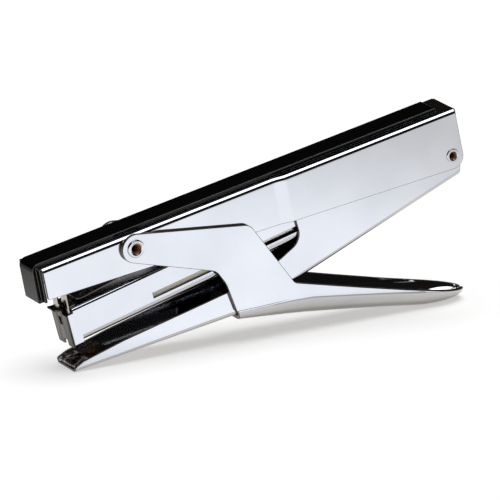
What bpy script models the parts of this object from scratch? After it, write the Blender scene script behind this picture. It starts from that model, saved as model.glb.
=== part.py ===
"""Plier stapler: a chromed sheet-steel squeeze stapler with a black rail on its upper handle.

Sizes are in millimetres, in the side view of the stapler: x runs from the anvil's tip towards the
handles, z is the height above the surface it stands on, and y is the distance from its middle plane.
place() turns them into metres, with the origin under the middle of the whole stapler.
"""

import math

import bmesh
import bpy
from mathutils import Matrix, Vector

MM = 0.001
MIDDLE_X = 80.3  # halfway between the rail's front and the lever's tip

# Pivots
REAR_PIN = (167.8, 62.6)
FRONT_PIN = (25.4, 47.0)
PIN_STEPS = 32

# Upper channel: an inverted U of sheet, narrow over the magazine and joggled out round the anvil arm
UPPER_FRONT = (-15.4, 44.0)
UPPER_REAR = (168.3, 81.3)
UPPER_GAUGE = 1.0
UPPER_BEND = 1.8
UPPER_FRONT_HALF = 8.35
UPPER_REAR_HALF = 9.5
JOGGLE_START, JOGGLE_END = 88.5, 94.5
UPPER_EDGE = 0.96  # the front edge, along the web from UPPER_FRONT

# Rail: plastic rib along the top, wrapped down over the channel's front
RAIL_HALF = 5.4
RAIL_RISE = 1.9
RAIL_NOSE = 2.1
RAIL_DROP = 14.3
RAIL_END = 181.5
SKIRT_HALF = 8.3

# Anvil arm: a U of sheet, open upwards, that bends at the fulcrum
ARM_TIP_HALF = 7.7
ARM_HALF = 8.3
ARM_GAUGE = 1.0
ARM_BEND = 2.5
ARM_TIP_BEND = 1.8
FULCRUM = (77.4, 12.5)
ANVIL_PITCH = 17.5
ANVIL_TOP = (0.3, 2.1)

# Magazine: a box of thin sheet, pitched, with lips turned in under the staple core
SHELL_CORNER = (0.3, 10.8)
SHELL_PITCH = 15.0
SHELL_HALF = 7.1
SHELL_HEIGHT = 15.0
SHELL_GAUGE = 0.6
SHELL_TOP_BEND = 1.3
SHELL_LOW_BEND = 2.5
SHELL_LIP = 3.6
BLADE_GAP_END = 2.2  # staples, core and shell top all start behind the driver's slot
CORE_HALF = 5.4
CORE_LOW, CORE_TOP = 1.0, 7.1
STAPLE_HALF = 6.3
STAPLE_LOW, STAPLE_TOP = 2.0, 8.0
STAPLE_WIRE = 0.5
STRIP_LENGTH = 25.0
PUSHER_START, PUSHER_END = 27.6, 66.0
ROD_HEIGHT = 11.4
ROD_RADIUS = 1.2
STOP_START, STOP_END = 141.0, 146.0

# Squeeze lever: two ears on the front pin, and a rounded trough back to the tip
LEVER_HALF = 10.1
LEVER_TAIL_HALF = 8.5
LEVER_GAUGE = 1.5
LEVER_FRONT_BEND, LEVER_TAIL_BEND = 4.8, 7.6
LEVER_TAPER_START = 106.0
FOOT_START = 158.5  # a short flat that stands on the table, up to the scoop
SCOOP_START = 163.0
SCOOP_LENGTH = 15.2
SCOOP_RISE = 3.0
EAR_RADIUS = 5.84

GAP = 0.3  # between pieces that touch
RIVET_GAP = 0.2

# Finishes: colour, metallic, roughness
CHROME = ((0.86, 0.87, 0.89), 1.0, 0.06)
NICKEL = ((0.50, 0.46, 0.41), 1.0, 0.22)
BRIGHT_STEEL = ((0.70, 0.70, 0.69), 1.0, 0.25)
SPRING_STEEL = ((0.42, 0.41, 0.40), 1.0, 0.30)
BLACK_PLASTIC = ((0.012, 0.012, 0.013), 0.0, 0.30)
CREAM_PLASTIC = ((0.78, 0.73, 0.62), 0.0, 0.45)


def clear_scene():
    for old in list(bpy.data.objects):
        bpy.data.objects.remove(old, do_unlink=True)


def collection(name):
    made = bpy.data.collections.new(name)
    bpy.context.scene.collection.children.link(made)
    return made


def place(x, y, z):
    """Metres, in the stapler's own frame, from side-view millimetres."""
    return Vector(((x - MIDDLE_X) * MM, y * MM, z * MM))


def frame_at(corner, pitch):
    """A function from (along, up) in a frame pitched about corner to side-view (x, z)."""
    cos, sin = math.cos(math.radians(pitch)), math.sin(math.radians(pitch))

    def to_side(along, up):
        return corner[0] + along * cos - up * sin, corner[1] + along * sin + up * cos

    return to_side


def with_y(point, y=0.0):
    """A side-view point (x, z) as (x, y, z)."""
    return point[0], y, point[1]


UPPER_PITCH = math.degrees(math.atan2(UPPER_REAR[1] - UPPER_FRONT[1], UPPER_REAR[0] - UPPER_FRONT[0]))
upper = frame_at(UPPER_FRONT, UPPER_PITCH)
shell = frame_at(SHELL_CORNER, SHELL_PITCH)
anvil = frame_at(ANVIL_TOP, ANVIL_PITCH)


def arc(centre, radius, start, end, steps=6):
    """Points round part of a circle, from one angle to another, in degrees."""
    points = []
    for i in range(steps + 1):
        angle = math.radians(start + (end - start) * i / steps)
        points.append((centre[0] + radius * math.cos(angle), centre[1] + radius * math.sin(angle)))
    return points


def rounded(corners, steps=5, closed=True):
    """An outline through corners (x, z) or (x, z, radius), with the given radius at each corner."""
    points = []
    for i, corner in enumerate(corners):
        here = Vector(corner[:2])
        at_end = not closed and i in (0, len(corners) - 1)
        if len(corner) == 2 or at_end:
            points.append(tuple(here))
            continue
        before = (Vector(corners[i - 1][:2]) - here).normalized()
        after = (Vector(corners[(i + 1) % len(corners)][:2]) - here).normalized()
        half = before.angle(after) / 2
        reach = corner[2] / math.tan(half)
        centre = here + (before + after).normalized() * corner[2] / math.sin(half)
        first = here + before * reach - centre
        last = here + after * reach - centre
        start = math.degrees(math.atan2(first.y, first.x))
        turn = math.degrees(math.atan2(last.y, last.x)) - start
        turn -= 360 * round(turn / 360)
        points += arc(centre, corner[2], start, start + turn, steps)
    return points


def ribbon(line, gauge):
    """A closed outline of even thickness round an open line, in its own plane."""
    left, right = [], []
    for i, point in enumerate(line):
        ahead = Vector(line[min(i + 1, len(line) - 1)]) - Vector(line[max(i - 1, 0)])
        side = Vector((-ahead.y, ahead.x)).normalized() * gauge / 2
        left.append(tuple(Vector(point) + side))
        right.append(tuple(Vector(point) - side))
    return left + right[::-1]


def finish(name, look):
    """A plain finish on a Principled shader."""
    colour, metallic, roughness = look
    material = bpy.data.materials.new(name)
    material.use_nodes = True
    shader = material.node_tree.nodes["Principled BSDF"]
    shader.inputs["Base Color"].default_value = (*colour, 1.0)
    shader.inputs["Metallic"].default_value = metallic
    shader.inputs["Roughness"].default_value = roughness
    return material


def pivot(name, x, z):
    """An empty on a joint's axis, which the pieces of one moving body hang on."""
    empty = bpy.data.objects.new(name, None)
    empty.location = place(x, 0, z)
    empty.empty_display_size = 5 * MM
    parts.objects.link(empty)
    return empty


def mesh_object(name, bm):
    """An object at the world's origin from a bmesh in side-view millimetres."""
    bmesh.ops.recalc_face_normals(bm, faces=bm.faces)
    for vert in bm.verts:
        vert.co = place(*vert.co)
    mesh = bpy.data.meshes.new(name)
    bm.to_mesh(mesh)
    bm.free()
    return bpy.data.objects.new(name, mesh)


def sweep(name, sections):
    """A solid lofted through closed sections, each a list of (x, y, z), all with as many points."""
    bm = bmesh.new()
    loops = [[bm.verts.new(point) for point in section] for section in sections]
    for here, there in zip(loops, loops[1:]):
        for i in range(len(here)):
            j = (i + 1) % len(here)
            bm.faces.new((here[i], here[j], there[j], there[i]))
    bm.faces.new(loops[0][::-1])
    bm.faces.new(loops[-1])
    return mesh_object(name, bm)


def prism(name, outline, low, high):
    """A side-view outline given thickness across the stapler, from y = low to y = high."""
    flat = bpy.data.curves.new(name, "CURVE")
    flat.dimensions = "2D"
    flat.fill_mode = "BOTH"
    flat.extrude = (high - low) / 2
    line = flat.splines.new("POLY")
    line.points.add(len(outline) - 1)
    for point, (x, z) in zip(line.points, outline):
        point.co = (x, z, 0, 1)
    line.use_cyclic_u = True
    sheet = bpy.data.objects.new(name, flat)
    bpy.context.scene.collection.objects.link(sheet)
    mesh = bpy.data.meshes.new_from_object(sheet.evaluated_get(bpy.context.evaluated_depsgraph_get()))
    bpy.data.objects.remove(sheet)
    bm = bmesh.new()
    bm.from_mesh(mesh)
    bpy.data.meshes.remove(mesh)
    bmesh.ops.remove_doubles(bm, verts=bm.verts, dist=1e-4)
    upright = Matrix.Translation((0, (low + high) / 2, 0)) @ Matrix.Rotation(math.pi / 2, 4, "X")
    bmesh.ops.transform(bm, matrix=upright, verts=bm.verts)
    return mesh_object(name, bm)


def cylinder(name, start, end, radius, steps=PIN_STEPS):
    """A round bar between two side-view points (x, y, z)."""
    start, end = Vector(start), Vector(end)
    along = end - start
    bm = bmesh.new()
    bmesh.ops.create_cone(
        bm, cap_ends=True, segments=steps, radius1=radius, radius2=radius, depth=along.length
    )
    turn = along.to_track_quat("Z", "Y").to_matrix().to_4x4()
    bmesh.ops.transform(bm, matrix=Matrix.Translation((start + end) / 2) @ turn, verts=bm.verts)
    return mesh_object(name, bm)


def block(name, frame, along, half, up):
    """A box in a pitched frame: along and up are (low, high), and it is 2 * half wide."""
    low_a, high_a = along
    low_u, high_u = up
    outline = [frame(low_a, low_u), frame(high_a, low_u), frame(high_a, high_u), frame(low_a, high_u)]
    return prism(name, outline, -half, half)


def turned(name, profile, centre, axis):
    """A turned piece: profile (radius, height) round an axis, from its top down its outer side."""
    mesh = bpy.data.meshes.new(name)
    points = [(radius * MM, 0, height * MM) for radius, height in profile]
    edges = [(i, (i + 1) % len(points)) for i in range(len(points))]
    mesh.from_pydata(points, edges, [])
    piece = bpy.data.objects.new(name, mesh)
    screw = piece.modifiers.new("Turn", "SCREW")
    screw.steps = screw.render_steps = PIN_STEPS
    screw.use_merge_vertices = True
    screw.merge_threshold = 1e-6
    lean = Vector(axis).to_track_quat("Z", "Y").to_matrix().to_4x4()
    piece.matrix_world = Matrix.Translation(place(*centre)) @ lean
    return piece


def wire(name, points, radius):
    """A round wire through side-view points (x, y, z)."""
    curve = bpy.data.curves.new(name, "CURVE")
    curve.dimensions = "3D"
    curve.bevel_depth = radius * MM
    curve.bevel_resolution = 2
    curve.use_fill_caps = True
    line = curve.splines.new("POLY")
    line.points.add(len(points) - 1)
    for point, where in zip(line.points, points):
        point.co = (*place(*where), 1)
    return bpy.data.objects.new(name, curve)


def add(piece, body, look):
    """Puts a finished piece in the parts collection, on its body's pivot, with its own material."""
    parts.objects.link(piece)
    piece.parent = body
    piece.matrix_parent_inverse = Matrix.Translation(body.location).inverted()
    piece.data.materials.append(finish(piece.name + "_finish", look))
    if piece.type == "MESH":
        piece.data.shade_smooth()
        piece.data.set_sharp_from_angle(angle=math.radians(32))
    return piece


def boolean(piece, operation, tools):
    """Cuts a piece by each tool, joins it to each, or keeps only what lies inside each."""
    for tool in tools:
        cutters.objects.link(tool)
        tool.hide_render = True
        tool.display_type = "WIRE"
        step = piece.modifiers.new(operation.title(), "BOOLEAN")
        step.operation = operation
        step.solver = "EXACT"
        step.object = tool
    return piece


def pin_hole(name, at, radius):
    """A cutter for a hole through the whole stapler on the axis at (x, z)."""
    return cylinder(name, (at[0], -15, at[1]), (at[0], 15, at[1]), radius)


def u_section(half, depth, gauge, bend):
    """A U of sheet as (y, h): h is 0 on the outside of its web and depth at the ends of its legs."""
    flat = half - bend
    outside = arc((-flat, bend), bend, 180, 270) + arc((flat, bend), bend, 270, 360)
    inside = arc((flat, bend), bend - gauge, 360, 270) + arc((-flat, bend), bend - gauge, 270, 180)
    return [(-half, depth), *outside, (half, depth), (half - gauge, depth), *inside, (-half + gauge, depth)]


def lipped_section(half, depth, gauge, bend, low_bend, lip):
    """A U of sheet whose legs turn in to lips, as (y, h)."""
    flat, low_flat, low = half - bend, half - low_bend, depth - low_bend
    outside = (
        [(-lip, depth)]
        + arc((-low_flat, low), low_bend, 90, 180)
        + arc((-flat, bend), bend, 180, 270)
        + arc((flat, bend), bend, 270, 360)
        + arc((low_flat, low), low_bend, 0, 90)
        + [(lip, depth)]
    )
    inside = (
        [(lip, depth - gauge)]
        + arc((low_flat, low), low_bend - gauge, 90, 0)
        + arc((flat, bend), bend - gauge, 360, 270)
        + arc((-flat, bend), bend - gauge, 270, 180)
        + arc((-low_flat, low), low_bend - gauge, 180, 90)
        + [(-lip, depth - gauge)]
    )
    return outside + inside


def at_station(section, point, into):
    """A section set up across the stapler at a side-view point, with its legs along into (x, z)."""
    return [(point[0] + h * into[0], y, point[1] + h * into[1]) for y, h in section]


# ---------------------------------------------------------------- upper handle, the fixed body


def upper_channel(root):
    down = (math.sin(math.radians(UPPER_PITCH)), -math.cos(math.radians(UPPER_PITCH)))
    stations = []
    for along, half in (
        (-6.0, UPPER_FRONT_HALF),
        (JOGGLE_START - UPPER_FRONT[0], UPPER_FRONT_HALF),
        (JOGGLE_END - UPPER_FRONT[0], UPPER_REAR_HALF),
        (194.0, UPPER_REAR_HALF),
    ):
        section = u_section(half, 29.0, UPPER_GAUGE, UPPER_BEND)
        stations.append(at_station(section, upper(along, 0), down))
    piece = sweep("upper_channel", stations)
    side = [
        (-11.9, 31.6),
        (173.8, 57.7, 5.0),
        upper(187.7, 6.0),
        upper(UPPER_EDGE, 6.0),
    ]
    boolean(piece, "INTERSECT", [prism("upper_side_trim", rounded(side), -15, 15)])
    flange = rounded([upper(180, -0.5), (*upper(188.4, -0.5), 1.2), upper(188.4, -3.4)], closed=False)
    boolean(piece, "UNION", [prism("upper_rear_flange", ribbon(flange, UPPER_GAUGE), -8.2, 8.2)])
    holes = [
        pin_hole("upper_rear_hole", REAR_PIN, 2.3),
        pin_hole("upper_front_hole", FRONT_PIN, 2.5),
        cylinder("upper_driver_hole", with_y(upper(15.5, -4)), with_y(upper(15.5, 4)), 1.7),
        cylinder("upper_leaf_hole", with_y(upper(104, -4)), with_y(upper(104, 4)), 1.7),
    ]
    boolean(piece, "DIFFERENCE", holes)
    add(piece, root, CHROME)


def top_rail(root):
    inner = UPPER_EDGE - GAP
    rib = rounded(
        [
            upper(RAIL_END, GAP),
            (*upper(RAIL_END, RAIL_RISE), 0.7),
            (*upper(-RAIL_NOSE, RAIL_RISE), 3.0),
            (*upper(-RAIL_NOSE, -RAIL_DROP), 0.7),
            upper(inner, -RAIL_DROP),
            upper(inner, GAP),
        ]
    )
    piece = prism("top_rail", rib, -RAIL_HALF, RAIL_HALF)
    bevel = piece.modifiers.new("Long edges", "BEVEL")
    bevel.width = 0.7 * MM
    bevel.segments = 2
    bevel.limit_method = "ANGLE"
    bevel.angle_limit = math.radians(60)
    skirt = rounded(
        [
            (*upper(inner - 1.1, GAP + 0.4), 0.4),
            (*upper(inner - 1.1, 0.6 - RAIL_DROP), 0.4),
            upper(inner - 0.05, 0.6 - RAIL_DROP),
            upper(inner - 0.05, GAP + 0.4),
        ]
    )
    boolean(piece, "UNION", [prism("rail_skirt", skirt, -SKIRT_HALF, SKIRT_HALF)])
    add(piece, root, BLACK_PLASTIC)


def driver(root):
    """The blade hangs from a foot under the web, and one rivet holds the foot."""
    blade_at, blade_gauge, foot_end = 9.4, 0.6, 22.0
    line = rounded(
        [
            upper(blade_at, -26.2),
            (*upper(blade_at, -1.6), 1.2),
            upper(foot_end, -1.6),
        ],
        closed=False,
    )
    piece = prism("driver_blade", ribbon(line, blade_gauge), -6.2, 6.2)
    window = block("driver_window", upper, (5, 13), 1.9, (-20.5, -8.0))
    hole = cylinder("driver_foot_hole", with_y(upper(15.5, -4)), with_y(upper(15.5, 4)), 1.7)
    boolean(piece, "DIFFERENCE", [window, hole])
    add(piece, root, NICKEL)
    add(web_rivet("driver_rivet", 15.5), root, BRIGHT_STEEL)


def web_rivet(name, along):
    """A flush rivet through the upper web, with its head under a foot of 0.6 mm sheet."""
    head = -2.2
    profile = [(0, -0.1), (1.5, -0.1), (1.5, head), (2.7, head), (2.3, head - 0.8), (0, head - 1.0)]
    lean = math.radians(UPPER_PITCH)
    return turned(name, profile, with_y(upper(along, 0)), (-math.sin(lean), 0, math.cos(lean)))


def leaf_spring(root):
    """Presses the magazine down: riveted under the web, with its tip on the magazine's top."""
    line = rounded(
        [
            upper(14.5, -18.6),
            (*upper(17.0, -19.1), 4.0),
            (*upper(62.0, -13.4), 60.0),
            (*upper(93.0, -1.6), 40.0),
            upper(110.0, -1.6),
        ],
        steps=8,
        closed=False,
    )
    piece = prism("leaf_spring", ribbon(line, 0.6), -4.0, 4.0)
    hole = cylinder("leaf_hole", with_y(upper(104, -4)), with_y(upper(104, 4)), 1.7)
    add(boolean(piece, "DIFFERENCE", [hole]), root, SPRING_STEEL)
    add(web_rivet("leaf_spring_rivet", 104.0), root, BRIGHT_STEEL)


def tube_rivet(name, at, bore, shank, flange, inner_y, outer_y):
    """A tubular rivet across the stapler, rolled over at both ends."""
    rim = outer_y - inner_y
    mid_rim = inner_y + rim / 2
    outside = [(flange - rim / 2, outer_y), (flange, mid_rim), (flange, inner_y), (shank, inner_y)]
    mirrored = [(radius, -y) for radius, y in outside[::-1]]
    profile = [(bore, outer_y - rim / 2), (bore + rim / 2, outer_y), *outside, *mirrored]
    profile += [(bore + rim / 2, -outer_y), (bore, rim / 2 - outer_y)]
    return turned(name, profile, (at[0], 0, at[1]), (0, 1, 0))


def pivots(root):
    add(tube_rivet("front_pivot_rivet", FRONT_PIN, 1.8, 2.3, 3.6, 10.25, 10.7), root, NICKEL)
    add(tube_rivet("rear_pivot_rivet", REAR_PIN, 1.6, 2.1, 2.8, 9.65, 9.9), root, NICKEL)


def opening_spring(root):
    """A torsion spring round the rear pin: one leg under the upper web, one on the anvil arm's web."""
    mean, turns, steps, half = 3.6, 5, 14, 3.6
    x, z = REAR_PIN
    points = [(148.0, -half, 75.0)]
    first, last = 112.0, -128.0
    total = 360 * turns + (first - last)
    count = int(steps * total / 360)
    for i in range(count + 1):
        angle = math.radians(first - total * i / count)
        y = -half + 2 * half * i / count
        points.append((x + mean * math.cos(angle), y, z + mean * math.sin(angle)))
    points.append((152.0, half, 47.1))
    add(wire("opening_spring", points, 0.6), root, SPRING_STEEL)


# ---------------------------------------------------------------- anvil arm, on the rear pin


def anvil_arm(arm):
    low_pitch = math.atan2(FULCRUM[1], FULCRUM[0])
    rear = (176.0, 55.2)
    high_pitch = math.atan2(rear[1] - FULCRUM[1], rear[0] - FULCRUM[0])
    stations = []
    for x, z, pitch, half, bend in (
        (-6.0, -6.0 * math.tan(low_pitch), low_pitch, ARM_TIP_HALF, ARM_TIP_BEND),
        (18.0, 18.0 * math.tan(low_pitch), low_pitch, ARM_TIP_HALF, ARM_TIP_BEND),
        (58.0, 58.0 * math.tan(low_pitch), low_pitch, ARM_HALF, ARM_BEND),
        (*FULCRUM, (low_pitch + high_pitch) / 2, ARM_HALF, ARM_BEND),
        (*rear, high_pitch, ARM_HALF, ARM_BEND),
    ):
        stretch = 1 / math.cos((high_pitch - low_pitch) / 2) if (x, z) == FULCRUM else 1.0
        into = (-math.sin(pitch) * stretch, math.cos(pitch) * stretch)
        section = u_section(half, 42.0, ARM_GAUGE, bend)
        stations.append(at_station(section, (x, z), into))
    piece = sweep("anvil_arm", stations)
    side = [
        (0.0, -4.0),
        (0.0, 1.9),
        (0.6, 2.3),
        (3.7, 4.1),
        (9.6, 6.0),
        (21.3, 9.7, 20.0),
        (67.2, 22.0, 30.0),
        (89.5, 31.1, 20.0),
        (100.0, 38.2, 6.0),
        (97.3, 47.0),
        (98.0, 52.0, 3.0),
        (163.0, 70.0, 5.0),
        (169.5, 70.0, 3.0),
        (172.1, 62.0, 3.0),
        (172.1, 48.0),
        (80.0, 4.0),
    ]
    boolean(piece, "INTERSECT", [prism("arm_side_trim", rounded(side), -15, 15)])
    holes = [
        pin_hole("arm_rear_hole", REAR_PIN, 2.3),
        cylinder("arm_anvil_hole", with_y(anvil(11.2, -7)), with_y(anvil(11.2, 4)), 1.5),
    ]
    boolean(piece, "DIFFERENCE", holes)
    add(piece, arm, CHROME)


def web_top(x):
    """Height of the anvil arm's web, inside, ahead of the fulcrum."""
    lean = math.atan2(FULCRUM[1], FULCRUM[0])
    return x * math.tan(lean) + ARM_GAUGE / math.cos(lean)


def anvil_pieces(arm):
    half, low_half, skin = 6.4, 5.5, 0.5
    back, end = 6.9, 17.0
    x_back, _ = anvil(back, 0)
    plate = [anvil(0, -skin), anvil(0, 0), anvil(back, 0), anvil(back, -skin)]
    piece = prism("anvil_plate", plate, -half, half)
    under = [
        (0.4, web_top(0.4) + GAP),
        anvil(0.1, -0.2),
        anvil(back - 0.1, -0.2),
        (x_back, web_top(x_back) + GAP),
    ]
    boolean(piece, "UNION", [prism("anvil_underside", under, -low_half, low_half)])
    grooves = []
    for side in (-1, 1):
        ends = [with_y(anvil(2.3, 0.7), side * y) for y in (0.7, 5.9)]
        grooves.append(cylinder(f"groove_{side + 1}", *ends, 1.1))
    add(boolean(piece, "DIFFERENCE", grooves), arm, NICKEL)

    start = back + GAP
    x_start, _ = anvil(start, 0)
    x_end, _ = anvil(end, 0)
    top, low = -0.8, -0.8 - skin
    base = [anvil(start, low), anvil(start, top), (*anvil(end, top), 0.2), anvil(end, low)]
    piece = prism("anvil_base_plate", rounded(base), -half, half)
    under = [
        (x_start + 0.1, web_top(x_start) + GAP),
        anvil(start + 0.1, -1.0),
        anvil(end - 0.1, -1.0),
        (x_end, web_top(x_end) + GAP),
    ]
    boolean(piece, "UNION", [prism("base_underside", under, -low_half, low_half)])
    flanges = []
    for side in (-1, 1):
        near, far = sorted((side * (half - 0.8), side * (half - 0.1)))
        flange = [
            anvil(start + 0.3, -1.1),
            anvil(start + 0.3, 0),
            anvil(end - 1.4, 0),
            anvil(end - 0.8, -1.1),
        ]
        flanges.append(prism(f"base_flange_{side + 1}", flange, near, far))
    boolean(piece, "UNION", flanges)
    hole = cylinder("base_rivet_hole", with_y(anvil(11.2, -7)), with_y(anvil(11.2, 4)), 1.5)
    add(boolean(piece, "DIFFERENCE", [hole]), arm, NICKEL)

    lean = math.radians(ANVIL_PITCH)
    head = [(0, 0.25), (1.2, 0.15), (2.1, -0.25), (2.1, -0.5), (1.3, -0.5), (1.3, -3.9), (0, -3.9)]
    rivet = turned("anvil_rivet", head, with_y(anvil(11.2, 0)), (-math.sin(lean), 0, math.cos(lean)))
    add(rivet, arm, BRIGHT_STEEL)


# ---------------------------------------------------------------- magazine, on the rear pin


def magazine_shell(magazine):
    lean = math.radians(SHELL_PITCH)
    down = (math.sin(lean), -math.cos(lean))
    section = lipped_section(
        SHELL_HALF, SHELL_HEIGHT, SHELL_GAUGE, SHELL_TOP_BEND, SHELL_LOW_BEND, SHELL_LIP
    )
    ends = [at_station(section, shell(along, SHELL_HEIGHT), down) for along in (-3.0, 184.0)]
    piece = sweep("magazine_shell", ends)
    side = [
        shell(0.0, -2.0),
        shell(0.0, 13.2),
        shell(BLADE_GAP_END + 0.3, 13.2),
        shell(BLADE_GAP_END + 0.3, 17.0),
        shell(148.0, 17.0),
        (*shell(156.0, 11.6), 4.0),
        (*shell(180.0, 10.6), 4.0),
        (*shell(178.6, 2.6), 4.0),
        (*shell(158.0, 3.0), 4.0),
        shell(149.0, -2.0),
    ]
    boolean(piece, "INTERSECT", [prism("shell_side_trim", rounded(side), -15, 15)])
    slot_low, slot_high = 4.3, 6.5
    tools = [
        block("staple_exit", shell, (-2, 4.2), 6.5, (-3, 2.9)),
        block("pusher_slot", shell, (37.0, 132.0), 15, (slot_low, slot_high)),
        pin_hole("shell_rear_hole", REAR_PIN, 2.3),
        cylinder("shell_pin_hole", with_y(shell(143.5, 4), -15), with_y(shell(143.5, 4), 15), 1.2),
    ]
    boolean(piece, "DIFFERENCE", tools)
    add(piece, magazine, CHROME)


def front_guide(magazine):
    """Closes the driver's slot at the front, with a nose tab bent forward at its top."""
    line = rounded([shell(0.15, -1.4), (*shell(0.15, 14.4), 1.0), shell(-3.1, 15.3)], closed=False)
    piece = prism("front_guide", ribbon(line, 0.8), -6.3, 6.3)
    corners = []
    for side in (-1, 1):
        low, high = sorted((side * 3.0, side * 8.0))
        outline = [shell(-6, 12.6), shell(3, 12.6), shell(3, 17), shell(-6, 17)]
        corners.append(prism(f"nose_corner_{side + 1}", outline, low, high))
    tools = [
        block("guide_notch", shell, (-2, 2), 1.6, (-3, 1.0)),
        block("guide_slot", shell, (-2, 2), 1.1, (7.5, 11.0)),
    ]
    boolean(piece, "DIFFERENCE", tools + corners)
    add(piece, magazine, NICKEL)


def inverted_u(name, along, half, up, gauge):
    """A square inverted U in the magazine's frame."""
    piece = block(name, shell, along, half, up)
    hollow_along, hollow_up = (along[0] - 1, along[1] + 1), (up[0] - 1, up[1] - gauge)
    inside = block(name + "_inside", shell, hollow_along, half - gauge, hollow_up)
    return boolean(piece, "DIFFERENCE", [inside])


def magazine_inside(magazine):
    core = inverted_u("staple_core", (BLADE_GAP_END, 139.5), CORE_HALF, (CORE_LOW, CORE_TOP), 0.8)
    add(core, magazine, BRIGHT_STEEL)
    strip = (BLADE_GAP_END, BLADE_GAP_END + STRIP_LENGTH)
    staples = inverted_u("staple_strip", strip, STAPLE_HALF, (STAPLE_LOW, STAPLE_TOP), STAPLE_WIRE)
    add(staples, magazine, BRIGHT_STEEL)

    rod_ends = [with_y(shell(along, ROD_HEIGHT)) for along in (4.6, 145.0)]
    add(cylinder("pusher_rod", *rod_ends, ROD_RADIUS, 16), magazine, BRIGHT_STEEL)
    tab = block("rod_front_tab", shell, (3.4, 5.4), 4.5, (8.5, 14.1))
    hole_ends = [with_y(shell(along, ROD_HEIGHT)) for along in (2.0, 8.0)]
    boolean(tab, "DIFFERENCE", [cylinder("tab_hole", *hole_ends, ROD_RADIUS + RIVET_GAP, 16)])
    add(tab, magazine, BRIGHT_STEEL)

    stop = block("rear_stop_block", shell, (STOP_START, STOP_END), 6.0, (1.9, 14.0))
    rod_hole = [with_y(shell(along, ROD_HEIGHT)) for along in (STOP_START - 2, STOP_END + 2)]
    pin_line = [with_y(shell(143.5, 4), y) for y in (-15, 15)]
    tools = [
        cylinder("stop_rod_hole", *rod_hole, ROD_RADIUS + RIVET_GAP, 16),
        cylinder("stop_pin_hole", *pin_line, 1.2, 16),
    ]
    add(boolean(stop, "DIFFERENCE", tools), magazine, BLACK_PLASTIC)
    pin_ends = [with_y(shell(143.5, 4), y) for y in (-SHELL_HALF, SHELL_HALF)]
    add(cylinder("stop_cross_pin", *pin_ends, 1.0, 16), magazine, BRIGHT_STEEL)

    start, end, turns, steps = PUSHER_START + 12.0, STOP_START - GAP, 17, 10
    points = []
    for i in range(turns * steps + 1):
        angle = math.tau * i / steps
        along = start + 0.6 + (end - start - 1.2) * i / (turns * steps)
        x, z = shell(along, ROD_HEIGHT + 1.9 * math.sin(angle))
        points.append((x, 1.9 * math.cos(angle), z))
    add(wire("pusher_spring", points, 0.3), magazine, SPRING_STEEL)


def pusher_block(pusher):
    """Straddles the staple core behind the staples, and slides on the rod by its lug."""
    along = (PUSHER_START, PUSHER_END)
    piece = block("pusher", shell, along, 6.2, (2.1, 9.2))
    lug = block("pusher_lug", shell, (PUSHER_START, PUSHER_START + 11.5), 3.0, (8.0, 13.9))
    boolean(piece, "UNION", [lug])
    rod_line = [with_y(shell(place_on, ROD_HEIGHT)) for place_on in (PUSHER_START - 2, PUSHER_END + 2)]
    whole = (PUSHER_START - 1, PUSHER_END + 1)
    tools = [
        block("pusher_tunnel", shell, whole, CORE_HALF + GAP, (0, CORE_TOP + GAP)),
        cylinder("pusher_bore", *rod_line, ROD_RADIUS + GAP, 16),
        block("pusher_trough", shell, (PUSHER_START + 11.5, PUSHER_END + 1), 2.6, (8.4, 12)),
    ]
    add(boolean(piece, "DIFFERENCE", tools), pusher, CREAM_PLASTIC)


# ---------------------------------------------------------------- squeeze lever, on the front pin


def tub(name, inset):
    """The lever's rounded trough as a solid, inset by the sheet's thickness to make its inside."""

    def section(x, z, half, bend):
        turn = min(bend - inset, half * 0.9)
        low = arc((-half + turn, turn), turn, 180, 270) + arc((half - turn, turn), turn, 270, 360)
        outline = [(-half, 60.0 - z), *low, (half, 60.0 - z)]
        return at_station(outline, (x, z), (0, 1))

    stations = []
    for x, z, bend in (
        (20.0, 14.6, LEVER_FRONT_BEND),
        (78.0, 8.9, LEVER_FRONT_BEND),
        (106.0, 5.9, 9.0),
        (124.0, 4.1, 9.2),
        (142.0, 2.1, 8.4),
        (152.0, 0.8, 8.0),
        (FOOT_START, 0.0, LEVER_TAIL_BEND),
    ):
        taper = max(0.0, (x - LEVER_TAPER_START) / (SCOOP_START - LEVER_TAPER_START))
        half = LEVER_HALF + (LEVER_TAIL_HALF - LEVER_HALF) * taper - inset
        stations.append(section(x, z + inset, half, bend))
    length = SCOOP_LENGTH - inset
    for turn in (0, 15, 30, 45, 58, 69, 78):
        cos, sin = math.cos(math.radians(turn)), math.sin(math.radians(turn))
        half = (LEVER_TAIL_HALF - inset) * cos
        low = inset + SCOOP_RISE * (1 - cos)
        stations.append(section(SCOOP_START + length * sin, low, half, LEVER_TAIL_BEND))
    return sweep(name, stations)


def squeeze_lever(lever):
    piece = tub("squeeze_lever", 0.0)
    boolean(piece, "DIFFERENCE", [tub("lever_inside", LEVER_GAUGE)])
    side = rounded(
        [
            *arc(FRONT_PIN, EAR_RADIUS, 85.2, 255.9, 14),
            (60.9, 32.1, 5.0),
            (65.2, 26.4, 12.0),
            (70.6, 14.0, 20.0),
            (71.8, 10.6),
            (72.6, 4.0),
            (120.0, -4.0),
            (184.0, -4.0),
            (184.0, 3.4),
            (176.0, 4.6),
            (162.3, 6.9, 60.0),
            (146.6, 10.2, 60.0),
            (104.2, 19.9, 30.0),
            (96.2, 21.7, 3.0),
            (76.0, 48.7, 5.0),
        ]
    )
    boolean(piece, "INTERSECT", [prism("lever_side_trim", side, -15, 15)])
    boolean(piece, "DIFFERENCE", [pin_hole("lever_hole", FRONT_PIN, 2.5)])
    add(piece, lever, CHROME)


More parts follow.
